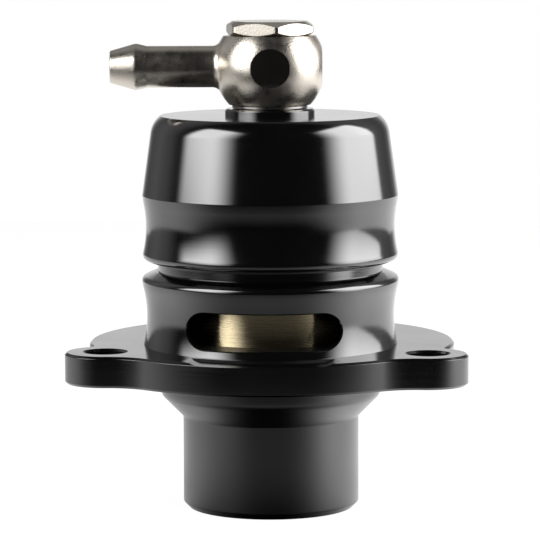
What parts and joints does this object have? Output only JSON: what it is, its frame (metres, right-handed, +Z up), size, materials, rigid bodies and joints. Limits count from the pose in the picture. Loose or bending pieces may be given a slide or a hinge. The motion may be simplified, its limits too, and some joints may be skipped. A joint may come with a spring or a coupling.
{
  "type": "blow off valve",
  "caption": "Piston blow off valve with a flanged body, vent slots, a tapered screwed cap and a barbed banjo fitting for the control hose.",
  "frame": {"origin": "on the plane of the spigot's end, under the middle of the flange's outline, 6.9 mm behind the valve axis", "axes": "+Z up the valve axis from spigot to hex head, -Y to the front vent slot, -X along the hose nipple"},
  "size_m": [0.0688, 0.0706, 0.0844],
  "materials": {
    "black_anodised": "polished black anodised",
    "polished_brass": "polished",
    "nickel_plate": "nickel plated, fine orange peel",
    "washer_steel": "dark satin",
    "seal_rubber": "moulded",
    "guide_ring_plastic": "turned",
    "spring_steel": "drawn wire"
  },
  "bodies": {
    "housing": {"valve_body": "black_anodised", "cap": "black_anodised", "cap_seal": "seal_rubber", "return_spring": "spring_steel", "lower_washer": "washer_steel", "upper_seal": "seal_rubber", "banjo_bolt": "nickel_plate"},
    "piston_group": {"piston": "polished_brass", "piston_seal": "seal_rubber", "guide_ring": "guide_ring_plastic", "seat_seal": "seal_rubber"},
    "banjo": {"banjo_fitting": "nickel_plate"}
  },
  "joints": [
    {"name": "piston_slide", "type": "slide", "parent": "housing", "child": "piston_group", "axis": [0, 0, 1], "range_m": [0, 0.008], "stiffness_N_per_m": 1550, "springref_m": -0.01, "deforming": ["return_spring"]},
    {"name": "banjo_swivel", "type": "hinge", "parent": "housing", "child": "banjo", "pos_m": [0, -0.0069, 0.07655], "axis": [0, 0, 1], "continuous": true}
  ]
}
